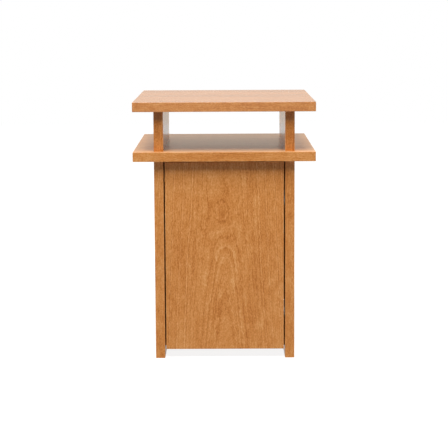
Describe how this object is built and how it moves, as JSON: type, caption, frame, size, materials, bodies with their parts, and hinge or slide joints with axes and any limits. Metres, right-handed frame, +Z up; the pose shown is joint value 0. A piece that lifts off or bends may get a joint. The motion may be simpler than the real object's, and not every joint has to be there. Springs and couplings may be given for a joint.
{
  "type": "side table with cabinet",
  "caption": "Wooden side table: a wide top over an open shelf, on a narrow cabinet with an inset push-to-open door, concealed hinges and an inner shelf.",
  "frame": {"origin": "on the floor, at the centre of the footprint of the boards", "axes": "+Z up, the door faces -Y, the door's hinges are at +X"},
  "size_m": [0.432, 0.52, 0.618],
  "materials": {
    "board_wood": "honey stained maple or birch under a satin clear coat",
    "upright_wood": "honey stained maple or birch under a satin clear coat, grain upright",
    "door_wood": "honey stained veneer with an upright figure under a satin clear coat",
    "inner_wood": "honey stained, satin",
    "back_wood": "stained plywood, satin",
    "dowel_wood": "plain fluted beech",
    "peg_steel": "bright nickel plated",
    "screw_steel": "zinc plated",
    "hinge_steel": "nickel plated pressed steel",
    "pin_steel": "plain ground steel",
    "strike_steel": "zinc plated sheet",
    "latch_plastic": "brown moulded, fine matt",
    "plunger_plastic": "black moulded, fine matt"
  },
  "bodies": {
    "carcass": {"top_board": "board_wood", "middle_board": "board_wood", "upper_support_left": "upright_wood", "upper_support_right": "upright_wood", "side_panel_left": "upright_wood", "side_panel_right": "upright_wood", "cabinet_floor": "inner_wood", "inner_shelf": "inner_wood", "back_panel": "back_wood", "upper_dowels": "dowel_wood", "side_dowels": "dowel_wood", "floor_dowels": "dowel_wood", "shelf_pegs": "peg_steel", "back_screws": "screw_steel", "hinge_plate_screws": "screw_steel", "hinge_arm_screws": "screw_steel", "latch_screws": "screw_steel", "hinge_plate_lower": "hinge_steel", "hinge_plate_upper": "hinge_steel", "hinge_arm_lower": "hinge_steel", "hinge_arm_upper": "hinge_steel", "latch_body": "latch_plastic"},
    "door": {"door_panel": "door_wood", "hinge_cup_lower": "hinge_steel", "hinge_cup_upper": "hinge_steel", "hinge_cup_screws": "screw_steel", "hinge_pin_lower": "pin_steel", "hinge_pin_upper": "pin_steel", "strike_plate": "strike_steel", "strike_screws": "screw_steel"},
    "plunger": {"latch_plunger": "plunger_plastic"}
  },
  "joints": [
    {"name": "door_swing", "type": "hinge", "parent": "carcass", "child": "door", "pos_m": [0.1275, -0.231, 0.2485], "axis": [0, 0, 1], "range_deg": [0, 95]},
    {"name": "latch_press", "type": "slide", "parent": "carcass", "child": "plunger", "axis": [0, 1, 0], "range_m": [0, 0.003], "stiffness_N_per_m": 1200}
  ]
}
